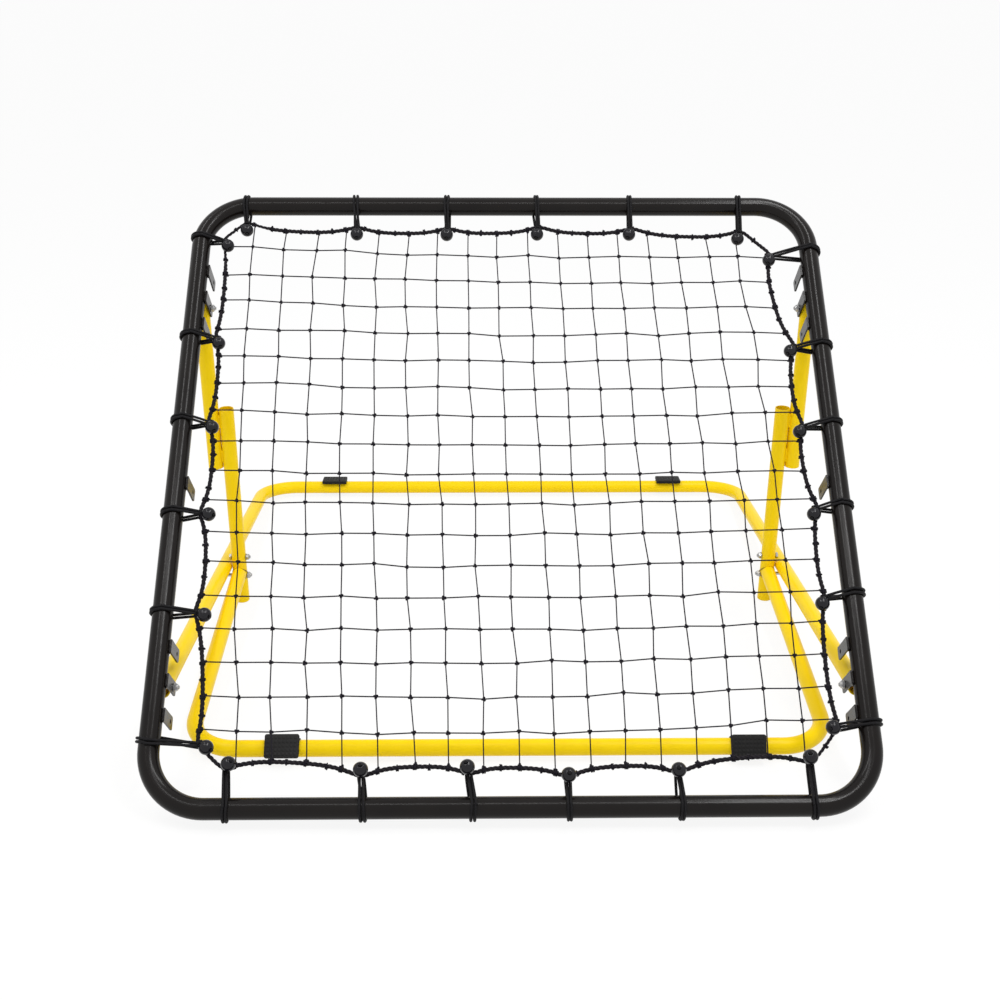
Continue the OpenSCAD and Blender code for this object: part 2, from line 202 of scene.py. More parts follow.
def lathe(bm, origin, axis, profile, sides, loop=False):
    # profile: pairs of distance along the axis and radius
    side = axis.orthogonal().normalized()
    up = axis.cross(side)
    skin(bm, [makeRing(bm, origin + axis * h, side, up, r, sides, h) for h, r in profile], loop)


def bentPath(corners, bend, closed=False, steps=16):
    # straight runs joined by round bends
    points = []
    count = len(corners)
    for i, corner in enumerate(corners):
        if not closed and i in (0, count - 1):
            points.append(corner.copy())
            continue
        back = (corners[i - 1] - corner).normalized()
        on = (corners[(i + 1) % count] - corner).normalized()
        half = back.angle(on) / 2
        centre = corner + (back + on).normalized() * (bend / sin(half))
        arm = corner + back * (bend / tan(half)) - centre
        turn = pi - 2 * half
        axis = back.cross(on).normalized()
        for s in range(steps + 1):
            spoke = arm.copy()
            spoke.rotate(Quaternion(axis, -turn * s / steps))
            points.append(centre + spoke)
    return points


def smoothPath(points, closed, steps):
    # a round curve through the points
    count = len(points)
    out = []
    for i in range(count if closed else count - 1):
        p = [points[m % count if closed else min(max(m, 0), count - 1)] for m in range(i - 1, i + 3)]
        for s in range(steps):
            t = s / steps
            even = 2 * p[1] + (p[2] - p[0]) * t + (2 * p[0] - 5 * p[1] + 4 * p[2] - p[3]) * t * t
            out.append(0.5 * (even + (3 * p[1] - 3 * p[2] + p[3] - p[0]) * t * t * t))
    if not closed:
        out.append(points[-1].copy())
    return out


def evenly(points, step, closed=False):
    # the same path with its points a near-even step apart
    line = points + [points[0]] if closed else points
    along = lengths(line)
    count = max(2, round(along[-1] / step))
    out = []
    seg = 0
    for k in range(count if closed else count + 1):
        goal = along[-1] * k / count
        while seg < len(line) - 2 and along[seg + 1] < goal:
            seg += 1
        span = along[seg + 1] - along[seg]
        out.append(line[seg].lerp(line[seg + 1], (goal - along[seg]) / span if span else 0.0))
    return out


def newBmesh():
    bm = bmesh.new()
    bm.verts.layers.float.new("along")
    bm.verts.layers.float_vector.new("around")
    return bm


def addPiece(name, bm, material, body, slot, *replaced, sharp=40):
    # sharp: the least angle in degrees at which an edge stays crisp
    bmesh.ops.recalc_face_normals(bm, faces=bm.faces)
    mesh = bpy.data.meshes.new(name)
    bm.to_mesh(mesh)
    bm.free()
    mesh.shade_smooth()
    mesh.set_sharp_from_angle(angle=radians(sharp))
    mesh.materials.append(material)
    piece = bpy.data.objects.new(name, mesh)
    link(piece)
    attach(piece, body)
    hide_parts(*replaced)


def newGroup(name, inputs, outputs):
    group = bpy.data.node_groups.new(name, "ShaderNodeTree")
    for label, value in inputs.items():
        socket = group.interface.new_socket(label, in_out="INPUT", socket_type="NodeSocketFloat")
        socket.default_value = value
    for label in outputs:
        group.interface.new_socket(label, in_out="OUTPUT", socket_type="NodeSocketFloat")
    return group, group.nodes.new("NodeGroupInput"), group.nodes.new("NodeGroupOutput")


def setInputs(node, values):
    for label, value in values.items():
        node.inputs[label].default_value = value
    return node


def mathNode(tree, operation, a, b=None):
    node = tree.nodes.new("ShaderNodeMath")
    node.operation = operation
    for socket, value in zip(node.inputs, (a, b)):
        if isinstance(value, (int, float)):
            socket.default_value = value
        elif value is not None:
            tree.links.new(value, socket)
    return node.outputs[0]


def noiseNode(tree, scale, detail=3.0, roughness=0.5):
    node = tree.nodes.new("ShaderNodeTexNoise")
    place = tree.nodes.new("ShaderNodeTexCoord")
    tree.links.new(place.outputs["Object"], node.inputs["Vector"])
    setInputs(node, {"Detail": detail, "Roughness": roughness})
    if isinstance(scale, (int, float)):
        node.inputs["Scale"].default_value = scale
    else:
        tree.links.new(scale, node.inputs["Scale"])
    return node.outputs["Fac"]


def makePeelGroup():
    # the pebbled skin of a powder coat: Height for a bump, Tone for small changes of colour
    group, start, end = newGroup(
        "powderPeel", {"Pebble": 420.0, "Grain": 2600.0, "Grain share": 0.25}, ("Height", "Tone"))
    pebble = noiseNode(group, start.outputs["Pebble"], 2.0)
    grain = noiseNode(group, start.outputs["Grain"], 2.0)
    fine = mathNode(group, "MULTIPLY", grain, start.outputs["Grain share"])
    group.links.new(mathNode(group, "ADD", pebble, fine), end.inputs["Height"])
    group.links.new(noiseNode(group, 14.0, 4.0), end.inputs["Tone"])
    return group


def makePliesGroup():
    # the plies or braid of a cord, from the place along and around it
    group, start, end = newGroup(
        "cordPlies", {"Per metre": 900.0, "Plies": 3.0, "Crossing": 0.0}, ("Height",))
    along = group.nodes.new("ShaderNodeAttribute")
    along.attribute_name = "along"
    around = group.nodes.new("ShaderNodeAttribute")
    around.attribute_name = "around"
    split = group.nodes.new("ShaderNodeSeparateXYZ")
    group.links.new(around.outputs["Vector"], split.inputs[0])
    angle = mathNode(group, "ARCTAN2", split.outputs["Y"], split.outputs["X"])
    turned = mathNode(group, "MULTIPLY", angle, start.outputs["Plies"])
    run = mathNode(group, "MULTIPLY", along.outputs["Fac"], start.outputs["Per metre"])
    oneWay = mathNode(group, "SINE", mathNode(group, "ADD", run, turned))
    otherWay = mathNode(group, "SINE", mathNode(group, "SUBTRACT", run, turned))
    crossed = mathNode(group, "MULTIPLY", otherWay, start.outputs["Crossing"])
    group.links.new(mathNode(group, "MAXIMUM", oneWay, crossed), end.inputs["Height"])
    return group


def makeDustGroup():
    # faint settled dust: a mask that grows on faces that look up
    group, start, end = newGroup("settledDust", {"Scale": 60.0, "Amount": 0.3}, ("Mask",))
    surface = group.nodes.new("ShaderNodeNewGeometry")
    split = group.nodes.new("ShaderNodeSeparateXYZ")
    group.links.new(surface.outputs["Normal"], split.inputs[0])
    upward = mathNode(group, "MAXIMUM", split.outputs["Z"], 0.0)
    patchy = mathNode(group, "MULTIPLY", noiseNode(group, start.outputs["Scale"], 5.0, 0.7), upward)
    group.links.new(mathNode(group, "MULTIPLY", patchy, start.outputs["Amount"]), end.inputs["Mask"])
    return group


peelGroup = makePeelGroup()
pliesGroup = makePliesGroup()
dustGroup = makeDustGroup()


def newMaterial(name, roughness, metallic=0.0, specular=0.5):
    material = bpy.data.materials.new(name)
    material.use_nodes = True
    tree = material.node_tree
    shader = tree.nodes["Principled BSDF"]
    setInputs(shader, {"Roughness": roughness, "Metallic": metallic, "Specular IOR Level": specular})
    return material, tree, shader


def placeGroup(tree, group, values):
    node = tree.nodes.new("ShaderNodeGroup")
    node.node_tree = group
    return setInputs(node, values)


def colourMix(tree, shader, factor, dark, light):
    mix = tree.nodes.new("ShaderNodeMix")
    mix.data_type = "RGBA"
    tree.links.new(factor, mix.inputs["Factor"])
    # sockets 6 and 7 are the two colours, output 2 is their mix
    setInputs(mix, {6: (*dark, 1), 7: (*light, 1)})
    tree.links.new(mix.outputs[2], shader.inputs["Base Color"])


def bumpFrom(tree, shader, height, strength, distance):
    bump = tree.nodes.new("ShaderNodeBump")
    setInputs(bump, {"Strength": strength, "Distance": distance})
    tree.links.new(height, bump.inputs["Height"])
    tree.links.new(bump.outputs["Normal"], shader.inputs["Normal"])


def spreadRoughness(tree, shader, factor, low, high):
    spread = tree.nodes.new("ShaderNodeMapRange")
    tree.links.new(factor, spread.inputs["Value"])
    setInputs(spread, {"To Min": low, "To Max": high})
    tree.links.new(spread.outputs["Result"], shader.inputs["Roughness"])


def makePowderCoat(name, dark, light, roughness, specular, pebble, depth):
    material, tree, shader = newMaterial(name, roughness, specular=specular)
    peel = placeGroup(tree, peelGroup, {"Pebble": pebble})
    colourMix(tree, shader, peel.outputs["Tone"], dark, light)
    spreadRoughness(tree, shader, peel.outputs["Tone"], roughness - 0.05, roughness + 0.05)
    bumpFrom(tree, shader, peel.outputs["Height"], 0.5, depth)
    return material


def makeCordMaterial(name, dark, light, roughness, perMetre, plies, crossing, depth):
    material, tree, shader = newMaterial(name, roughness, specular=0.14)
    cordPlies = placeGroup(tree, pliesGroup, {"Per metre": perMetre, "Plies": plies, "Crossing": crossing})
    fibres = mathNode(tree, "MULTIPLY", noiseNode(tree, 2400.0, 3.0), 0.6)
    height = mathNode(tree, "ADD", cordPlies.outputs["Height"], fibres)
    colourMix(tree, shader, noiseNode(tree, 90.0, 4.0), dark, light)
    bumpFrom(tree, shader, height, 0.7, depth)
    return material


def makeZinc():
    material, tree, shader = newMaterial("zincPlate", 0.3, metallic=1.0)
    cloud = noiseNode(tree, 220.0, 5.0, 0.6)
    colourMix(tree, shader, cloud, (0.32, 0.32, 0.31), (0.58, 0.58, 0.59))
    spreadRoughness(tree, shader, cloud, 0.22, 0.42)
    bumpFrom(tree, shader, noiseNode(tree, 3000.0, 2.0), 0.2, 0.1 * mm)
    return material


def makeRubber():
    material, tree, shader = newMaterial("mouldedRubber", 0.6, specular=0.2)
    dust = placeGroup(tree, dustGroup, {"Scale": 260.0, "Amount": 0.3})
    colourMix(tree, shader, dust.outputs["Mask"], (0.006, 0.006, 0.006), (0.06, 0.056, 0.054))
    bumpFrom(tree, shader, noiseNode(tree, 1500.0, 3.0), 0.35, 0.15 * mm)
    return material


def makeBallPlastic():
    material, tree, shader = newMaterial("ballPlastic", 0.16, specular=0.28)
    cloud = noiseNode(tree, 130.0, 4.0)
    colourMix(tree, shader, cloud, (0.004, 0.004, 0.006), (0.009, 0.008, 0.011))
    spreadRoughness(tree, shader, cloud, 0.11, 0.24)
    bumpFrom(tree, shader, noiseNode(tree, 700.0, 2.0), 0.12, 0.1 * mm)
    return material


# Darkest and lightest colour, roughness, specular level, pebbles for each metre, and the pebbles' depth
coats = {
    "yellowPowderCoat": ((0.93, 0.62, 0.002), (0.99, 0.72, 0.003), 0.3, 0.13, 380.0, 0.08 * mm),
    # the weld paint's dark brown is painted shade: it stands for the shadow in the seam where each front arm
    # meets its post
    "weldPaintedShade": ((0.22, 0.13, 0.006), (0.45, 0.28, 0.008), 0.5, 0.2, 700.0, 0.15 * mm),
    "blackPowderCoat": ((0.004, 0.003, 0.003), (0.009, 0.007, 0.006), 0.2, 0.17, 430.0, 0.12 * mm),
}
# Darkest and lightest colour, roughness, turn for each metre in radians, plies, crossing strands, depth
cords = {
    "netCord": ((0.006, 0.005, 0.009), (0.014, 0.012, 0.018), 0.65, 1600.0, 2.0, 0.0, 0.2 * mm),
    "ropeFibre": ((0.006, 0.005, 0.008), (0.018, 0.015, 0.018), 0.7, 900.0, 4.0, 0.0, 0.2 * mm),
    "elasticBraid": ((0.004, 0.004, 0.005), (0.010, 0.009, 0.010), 0.55, 2600.0, 8.0, 1.0, 0.2 * mm),
}
yellowCoat, weldPaintedShade, blackCoat = (makePowderCoat(name, *values) for name, values in coats.items())
netCord, ropeFibre, elasticBraid = (makeCordMaterial(name, *values) for name, values in cords.items())
zinc = makeZinc()
rubber = makeRubber()
ballPlastic = makeBallPlastic()
print("materials made")


# jointShare: how far before a post's axis the front arm ends, as a share of the tube's radius
stand = {
    "frontJointZ": 58 * mm, "jointShare": 0.9, "endPastPivot": 10 * mm,
    "beadStep": 0.4 * mm, "ripple": 1.6 * mm,
    "frontBead": 1.2 * mm, "frontBeadOut": 0.2 * mm, "frontBeadDrop": 1.5 * mm,
    "strutBead": 2.2 * mm, "strutBeadLong": 24 * mm, "strutBeadAside": 3.6 * mm,
    "aboveStrutEnd": 10 * mm, "belowPostEnd": 34 * mm,
}

postLow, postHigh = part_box("right_post")
postX, postY, _ = (postLow + postHigh) / 2
strutLow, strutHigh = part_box("right_strut")
armX = strutHigh.x - standRadius
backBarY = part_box("back_base_tube")[1].y - standRadius


def middleOf(node):
    low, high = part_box(node)
    return (low + high) / 2


lowPivot = middleOf("lower_pivot_bolts")
highPivot = middleOf("upper_pivot_bolts")


def mirrored(point):
    return Vector((-point.x, point.y, point.z))


def weldBead(bm, points, radius, seed):
    # a run of weld with the ripples that the torch leaves, thinner at both ends
    line = evenly(points, stand["beadStep"])
    rng = random.Random(seed)
    phase = rng.random() * 6
    radii = []
    for i, s in enumerate(lengths(line)):
        ends = min(1.0, 0.35 + min(i, len(line) - 1 - i) / 5)
        wave = 0.86 + 0.14 * abs(sin(pi * s / stand["ripple"] + phase))
        radii.append(radius * wave * ends * rng.uniform(0.97, 1.03))
    sweep(bm, line, radii, 10)


def makeFrontBase():
    bm = newBmesh()
    end = Vector((postX, postY - standRadius * stand["jointShare"], stand["frontJointZ"]))
    corner = Vector((postX, frontBarY, barZ))
    pipe(bm, bentPath([mirrored(end), mirrored(corner), corner, end], tubes["standBend"]))
    addPiece("frontBaseTube", bm, yellowCoat, "stand", "yellow_coat", "front_base_tube")
    bm = newBmesh()
    r = standRadius
    for side in (-1, 1):
        ring = []
        for k in range(41):
            a = 2 * pi * k / 40
            across = r * sin(a)
            z = stand["frontJointZ"] + (r + stand["frontBeadOut"]) * cos(a) - stand["frontBeadDrop"]
            ring.append(Vector((side * postX + across, postY - sqrt(max(r * r - across * across, 0)), z)))
        weldBead(bm, ring, stand["frontBead"], 10 + side)
    # these beads at the top of each front arm's joint carry that dark brown, which is painted shade for the
    # seam's shadow
    addPiece("frontBaseWelds", bm, weldPaintedShade, "stand", "yellow_coat", "front_base_tube")


def upright(x, low, high):
    return [Vector((x, postY, low + (high - low) * k / 3)) for k in range(4)]


def makePostsAndStruts():
    for name, side in (("left", -1), ("right", 1)):
        bm = newBmesh()
        pipe(bm, upright(side * postX, postLow.z, postHigh.z))
        addPiece(name + "Post", bm, yellowCoat, "stand", "yellow_coat", name + "_post")
        bm = newBmesh()
        pipe(bm, upright(side * armX, strutLow.z, strutHigh.z))
        seam = side * (postX + armX) / 2
        for z in (strutLow.z + stand["aboveStrutEnd"], postHigh.z - stand["belowPostEnd"]):
            for way in (-1, 1):
                start = Vector((seam, postY + way * stand["strutBeadAside"], z))
                run = [start, start + Vector((0, 0, stand["strutBeadLong"]))]
                weldBead(bm, run, stand["strutBead"], 20 + way)
        addPiece(name + "Strut", bm, yellowCoat, "stand", "yellow_coat", name + "_strut")


def makeBackBase():
    bm = newBmesh()
    corner = Vector((armX, backBarY, barZ))
    pivot = Vector((armX, lowPivot.y, lowPivot.z))
    end = pivot + (pivot - corner).normalized() * stand["endPastPivot"]
    pipe(bm, bentPath([mirrored(end), mirrored(corner), corner, end], tubes["standBend"]))
    addPiece("backBaseTube", bm, yellowCoat, "back_base", "yellow_coat", "back_base_tube")


makeFrontBase()
makePostsAndStruts()
makeBackBase()
print("stand made")


tab = {
    "reach": 320 * mm, "middleLow": 12 * mm, "pitch": 50 * mm, "width": 20 * mm, "thickness": 2.5 * mm,
    "holeBack": 32 * mm, "end": 14 * mm, "holeRadius": 3.05 * mm, "corner": 4 * mm, "rootCorner": 0.5 * mm,
    "edge": 0.35 * mm, "facet": 3 * mm, "weld": 2.3 * mm, "weldsAt": (2.6 * mm, -5.6 * mm),
    "weldIn": 0.4 * mm, "weldShort": 1 * mm,
}


def makeNetFrame():
    bm = newBmesh()
    corners = [onNet(x * halfFrame, v * halfFrame) for x, v in ((-1, 1), (1, 1), (1, -1), (-1, -1))]
    points = bentPath(corners, tubes["frameBend"], True, 20)
    sweep(bm, points, frameRadius, tubes["frameSides"], True, netFront)
    addPiece("netFrameTube", bm, blackCoat, "net_frame", "black_coat", "net_frame_tube")


def roundedOutline(low, high):
    # points round a tab in (v, n), anticlockwise, with its far end's corners rounded
    out = []
    far, root = tab["corner"], tab["rootCorner"]
    for v, n, r, turn in ((high[0], low[1], far, -90), (high[0], high[1], root, 0),
                          (low[0], high[1], root, 90), (low[0], low[1], far, 180)):
        cv = v - copysign(r, v - (low[0] + high[0]) / 2)
        cn = n - copysign(r, n - (low[1] + high[1]) / 2)
        for k in range(6):
            a = radians(turn + 18 * k)
            out.append((cv + r * cos(a), cn + r * sin(a)))
    # extra points along the straight sides keep the faces near the hole even
    full = []
    for (v0, n0), (v1, n1) in zip(out, out[1:] + out[:1]):
        parts = max(1, round(hypot(v1 - v0, n1 - n0) / tab["facet"]))
        full += [(v0 + (v1 - v0) * k / parts, n0 + (n1 - n0) * k / parts) for k in range(parts)]
    return full


def addTab(bm, side, v, faceX):
    hole = (v, -tab["holeBack"])
    half = tab["width"] / 2
    outline = roundedOutline((v - half, -tab["holeBack"] - tab["end"]), (v + half, frameRadius / 3))
    middle = (v, -tab["holeBack"] / 2)

    def ring(depth, inset, aroundHole=False):
        verts = []
        for pv, pn in outline:
            if aroundHole:
                a = atan2(pn - hole[1], pv - hole[0])
                r = tab["holeRadius"] + inset
                pv, pn = hole[0] + r * cos(a), hole[1] + r * sin(a)
            else:
                away = Vector((pv - middle[0], pn - middle[1]))
                pv, pn = (pv - inset * away.x / away.length, pn - inset * away.y / away.length)
            verts.append(bm.verts.new(onNet(side * (faceX - depth), pv, pn)))
        return verts

    e, t = tab["edge"], tab["thickness"]
    skin(bm, [ring(e, 0, True), ring(0, e, True), ring(0, e), ring(e, 0), ring(t - e, 0), ring(t, e),
              ring(t, e, True), ring(t - e, 0, True)], True)
    weldX, weldHalf = side * (faceX + tab["weldIn"]), half - tab["weldShort"]
    for n in tab["weldsAt"]:
        run = [onNet(weldX, v - weldHalf, n), onNet(weldX, v + weldHalf, n)]
        weldBead(bm, run, tab["weld"], int(v * 1000) + side)


def makeTabs():
    groups = (
        ("UpperTabs", tab["reach"], (-1, 0, 1), "upper_tabs"),
        ("MiddleTab", -tab["middleLow"], (0,), "middle_tab"),
        ("LowerTabs", -tab["reach"], (-1, 0, 1), "lower_tabs"),
    )
    for name, side in (("left", -1), ("right", 1)):
        for label, middle, steps, node in groups:
            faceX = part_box("right_" + node)[0].x + tab["thickness"]
            bm = newBmesh()
            for step in steps:
                addTab(bm, side, middle + step * tab["pitch"], faceX)
            addPiece(name + label, bm, blackCoat, "net_frame", "black_coat", name + "_" + node)


makeNetFrame()
makeTabs()
print("net frame made")


# Each side's rows, in millimetres along its tube from its middle and in from it: where the tie grips the
# tube, how far its wrap drifts behind it, how far along and in it holds the rope and hangs its ball, and the
# rope's bow to the next tie as a share of the span
ties = {
    "cord": 2.1 * mm, "neckCord": 1.9 * mm, "pairGap": 4.7 * mm, "clear": 0.1 * mm, "wander": 3.0 * mm,
    "ball": 10.5 * mm, "bore": 2.7 * mm, "boreLip": 0.5 * mm, "ballReach": 18.4 * mm, "leastLift": 6.5 * mm,
    "neckShare": 0.36, "hitchLow": 3.2 * mm, "hitchHalf": 3.3 * mm, "hitchSide": 4.3 * mm,
    "hitchTop": 4.2 * mm, "knob": 2.7 * mm, "knobHalf": 1.6 * mm, "knobIn": 1.2 * mm, "seed": 7,
    "top": {
        "at": (-430, -248, -98, 53, 207, 389), "drift": (2, -2, 3, -3, 2, 4), "hook": (1, 3, 2, 3, 3, 3),
        "inset": (31, 41, 43, 40, 43, 48), "bow": (0.085, 0.085, 0.085, 0.085, 0.085, 0.01),
        "ballAlong": (4, 3, 1, -1, -3, -6), "ballIn": (22, 20, 19, 21, 18, 22)},
    "right": {
        "at": (410, 229, 87, -51, -194, -388), "drift": (-6, -3, 2, -3, 3, 5), "hook": (-5, 0, 0, 0, 0, 0),
        "inset": (63, 40, 42, 35, 40, 43), "bow": (0.09, 0.088, 0.085, 0.056, 0.048, -0.03),
        "ballAlong": (-22, -14, -16, -17, -16, -7), "ballIn": (6, 11, 9, 9, 7, 11)},
    "bottom": {
        "at": (410, 231, 77, -52, -203, -386), "drift": (4, -2, 2, -3, 2, -3),
        "hook": (3, -2, -1, -5, -3, -9), "inset": (58, 45, 40, 45, 42, 54),
        "bow": (0.08, 0.085, 0.085, 0.085, 0.078, -0.02),
        "ballAlong": (-1, -4, 0, -9, -3, 0), "ballIn": (5, 1, 0, 7, 7, 4)},
    "left": {
        "at": (-411, -216, -60, 95, 247, 432), "drift": (13, -3, -5, -4, -3, 5), "hook": (3, 0, 0, 0, 0, 2),
        "inset": (65, 45, 38, 38, 37, 35), "bow": (0.052, 0.082, 0.085, 0.062, 0.044, 0.02),
        "ballAlong": (-6, -8, -6, -15, -17, -16), "ballIn": (15, 16, 16, 9, 8, 10)},
}
sideNames = ("top", "right", "bottom", "left")


def onSide(side, along, inward, n=0.0):
    # a point from a side's own measures: along its tube, in from its axis, and out of the net
    edge = halfFrame - inward
    places = {"top": (along, edge), "bottom": (along, -edge), "right": (edge, along), "left": (-edge, along)}
    return onNet(*places[side], n)


def tubeInset(along):
    # the tube's axis draws in where a tie sits on the start of a corner bend
    over = max(0.0, abs(along) - (halfFrame - tubes["frameBend"]))
    return tubes["frameBend"] * (1 - sqrt(1 - (over / tubes["frameBend"]) ** 2))


def tiePlaces():
    out = []
    for side in sideNames:
        own = ties[side]
        for k in range(len(own["at"])):
            along = own["at"][k] * mm
            out.append({
                "side": side, "along": along, "tubeIn": tubeInset(along), "drift": own["drift"][k] * mm,
                "ropeIn": own["inset"][k] * mm, "ropeAlong": along + own["hook"][k] * mm,
                "ballIn": own["ballIn"][k] * mm, "ballAlong": (own["ballAlong"][k] - own["hook"][k]) * mm,
                "bow": own["bow"][k],
            })
    return out


allTies = tiePlaces()


# cornerSize: the rope's size where it cuts a corner, from cornerFrom across plus up
rope = {
    "strand": 1.72 * mm, "spread": 1.62 * mm, "radius": 3.3 * mm, "lay": 21 * mm, "bowPower": 2.8,
    "part": 7 * mm, "step": 2.0 * mm, "cornerSize": 0.72, "cornerFrom": 0.835, "cornerFade": 0.02,
}


def ropeRoute():
    # tie to tie, each span bowed in towards the net's middle
    marks = [(onSide(t["side"], t["ropeAlong"], t["ropeIn"]), t["bow"]) for t in allTies]
    points = []
    for (a, share), (b, _) in zip(marks, marks[1:] + marks[:1]):
        span = (b - a).length
        inward = netCentre - (a + b) / 2
        inward = (inward - (b - a) * inward.dot(b - a) / span ** 2).normalized()
        bow = span * share
        parts = max(5, round(span / rope["part"]))
        for k in range(parts):
            s = k / parts
            points.append(a.lerp(b, s) + inward * (bow * (1 - abs(2 * s - 1) ** rope["bowPower"])))
    # two rounds of smoothing take the kinks out at the ties
    for turn in range(2):
        after = points[1:] + points[:1]
        points = [(points[i - 1] + points[i] * 2 + after[i]) / 4 for i in range(len(points))]
    return evenly(smoothPath(points, True, 3), rope["step"], True)


ropeLine = ropeRoute()
ropeFrames = directions(ropeLine, True, netFront)
ropeLength = lengths(ropeLine + ropeLine[:1])[-1]
ropeAcross = [(p - netCentre).dot(netAcross) for p in ropeLine]
ropeUp = [(p - netCentre).dot(netUp) for p in ropeLine]


def cornerMarks():
    # 1 where the rope runs along a side, less where it cuts a corner with no net gathered on it
    out = []
    for x, v in zip(ropeAcross, ropeUp):
        share = min(1.0, max(0.0, (abs(x) + abs(v) - rope["cornerFrom"]) / rope["cornerFade"]))
        out.append(1.0 - (1.0 - rope["cornerSize"]) * share)
    return out


ropeSize = cornerMarks()


def ropeCrossing(vertical, value, sign):
    # index of the rope's point where a net cord at this place meets it
    own, other = (ropeAcross, ropeUp) if vertical else (ropeUp, ropeAcross)
    reachable = [i for i in range(len(ropeLine)) if other[i] * sign > net["nearEdge"]]
    return min(reachable, key=lambda i: abs(own[i] - value))


def makeRope():
    bm = newBmesh()
    count = len(ropeLine)
    turns = round(ropeLength / rope["lay"])
    for strand in range(3):
        points = []
        for i, (heading, side, up) in enumerate(ropeFrames):
            a = 2 * pi * (turns * i / count + strand / 3)
            points.append(ropeLine[i] + outward(side, up, a) * rope["spread"] * ropeSize[i])
        sweep(bm, points, [rope["strand"] * s for s in ropeSize], 8, True, netFront)
    addPiece("borderRope", bm, ropeFibre, "net_frame", "border_rope", "border_rope", sharp=80)


makeRope()
print("border rope made:", round(ropeLength, 2), "m")


# wander: the usual stray of a knot, at most widest times; kink: the share of a mesh's side in which a cord
# straightens beside a knot; lead: how far ahead the outermost knots point to the rope
net = {
    "pitch": 50 * mm, "each": 17, "cord": 1.0 * mm, "wander": 1.3 * mm, "widest": 2.2, "lift": 0.6 * mm,
    "knot": 2.8 * mm, "knotCord": 1.2 * mm, "kink": 0.06, "halfSpan": 0.4, "nearEdge": 0.3,
    "follow": (0.3, 0.12, 0.04), "followFrom": 0.443, "lead": 0.25, "seed": 41,
    "wraps": 2.6, "wrapCord": 0.95 * mm, "wrapPitch": 1.9 * mm, "endGap": 0.6 * mm,
    "hitchWraps": 1.4, "hitchKnot": 0.62, "hitchCord": 0.9 * mm, "hitchOut": 0.4 * mm,
    "hitchGap": (20 * mm, 80 * mm),
}
netRng = random.Random(net["seed"])
middleCord = net["each"] // 2


def borderFollow(vertical, index, place):
    # outer rows of knots follow the rope's scallops
    fromEdge = min(index, net["each"] - 1 - index)
    if fromEdge >= len(net["follow"]):
        return 0.0
    sign = 1 if index > middleCord else -1
    edge = (ropeUp if vertical else ropeAcross)[ropeCrossing(vertical, place, sign)]
    return (abs(edge) - net["followFrom"]) * sign * net["follow"][fromEdge]


# How the whole net hangs askew: millimetres of shift at the left edge, the middle and the right edge, each
# as a constant, the change from bottom to top over the half side, and the bulge half-way up
askew = {
    "across": ((2.5, -14.4, -7.5), (-1.2, -12.2, -1.2), (-5.0, -10.0, 5.0)),
    "up": ((10.0, 4.4, 0.0), (2.0, -3.6, 0.0), (8.0, -7.0, 0.0)),
}


def hanging(axis, x, v):
    s, t = x / net["halfSpan"], v / net["halfSpan"]
    left, middle, right = (a + b * t + c * (1 - t * t) for a, b, c in askew[axis])
    return (middle + (right - left) / 2 * s + ((right + left) / 2 - middle) * s * s) * mm


def strayed():
    return max(-net["widest"], min(net["widest"], netRng.gauss(0, 1))) * net["wander"]


def knotPlaces():
    out = {}
    for i in range(net["each"]):
        for j in range(net["each"]):
            x = (i - middleCord) * net["pitch"]
            v = (j - middleCord) * net["pitch"]
            dx = strayed() + borderFollow(False, i, v)
            dv = strayed() + borderFollow(True, j, x)
            dx += hanging("across", x, v)
            dv += hanging("up", x, v)
            out[i, j] = onNet(x + dx, v + dv, netRng.uniform(-1, 1) * net["lift"])
    return out


def addKnot(bm, centre, size, turn, cord=None):
    # a small trefoil knot pulled tight, flatter towards the player
    ax = outward(netAcross, netUp, turn)
    ay = outward(netUp, -netAcross, turn)
    points = []
    for k in range(18):
        t = 2 * pi * k / 18
        px = sin(t) + 1.6 * sin(2 * t)
        py = cos(t) - 1.6 * cos(2 * t)
        pn = -sin(3 * t)
        points.append(centre + (ax * px + ay * py) * (size / 2.6) + netFront * (pn * size * 0.36))
    sweep(bm, points, cord or net["knotCord"], 6, True)


def addWraps(bm, at, turns, phase):
    # thin twine wound round the rope to lash the net to it
    count = len(ropeLine)
    steps = round(turns * 10)
    points = []
    for k in range(steps + 1):
        place = at + (k / steps - 0.5) * turns * net["wrapPitch"] / rope["step"]
        low = floor(place)
        heading, side, up = ropeFrames[low % count]
        centre = ropeLine[low % count].lerp(ropeLine[(low + 1) % count], place - low)
        reach = rope["radius"] * ropeSize[low % count] + net["wrapCord"] * 0.7
        points.append(centre + outward(side, up, phase + 2 * pi * turns * k / steps) * reach)
    sweep(bm, points, net["wrapCord"], 5)


def anyTurn():
    return netRng.uniform(0, 6.28)


def makeNet():
    bm = newBmesh()
    knots = knotPlaces()
    lashed = []
    kink = net["kink"]
    for vertical in (True, False):
        for i in range(net["each"]):
            row = [knots[(i, j) if vertical else (j, i)] for j in range(net["each"])]
            for sign in (-1, 1):
                last, before = (row[-1], row[-2]) if sign > 0 else (row[0], row[1])
                ahead = last + (last - before) * net["lead"] - netCentre
                at = ropeCrossing(vertical, ahead.dot(netAcross if vertical else netUp), sign)
                lashed.append(at)
                inward = (netCentre - ropeLine[at]).normalized()
                end = ropeLine[at] + inward * (rope["radius"] * ropeSize[at] + net["endGap"])
                row = row + [end] if sign > 0 else [end] + row
                addKnot(bm, end, net["knot"] * 0.9, anyTurn())
            line = []
            for a, b in zip(row, row[1:]):
                line += [a, a.lerp(b, kink), a.lerp(b, 1 - kink)]
            sweep(bm, line + [row[-1]], net["cord"], 6, False, netFront)
    for centre in knots.values():
        addKnot(bm, centre, net["knot"] * netRng.uniform(0.9, 1.12), anyTurn())
    addPiece("knottedNet", bm, netCord, "net_frame", "net_cord", "net_mesh", sharp=80)
    return sorted(lashed)


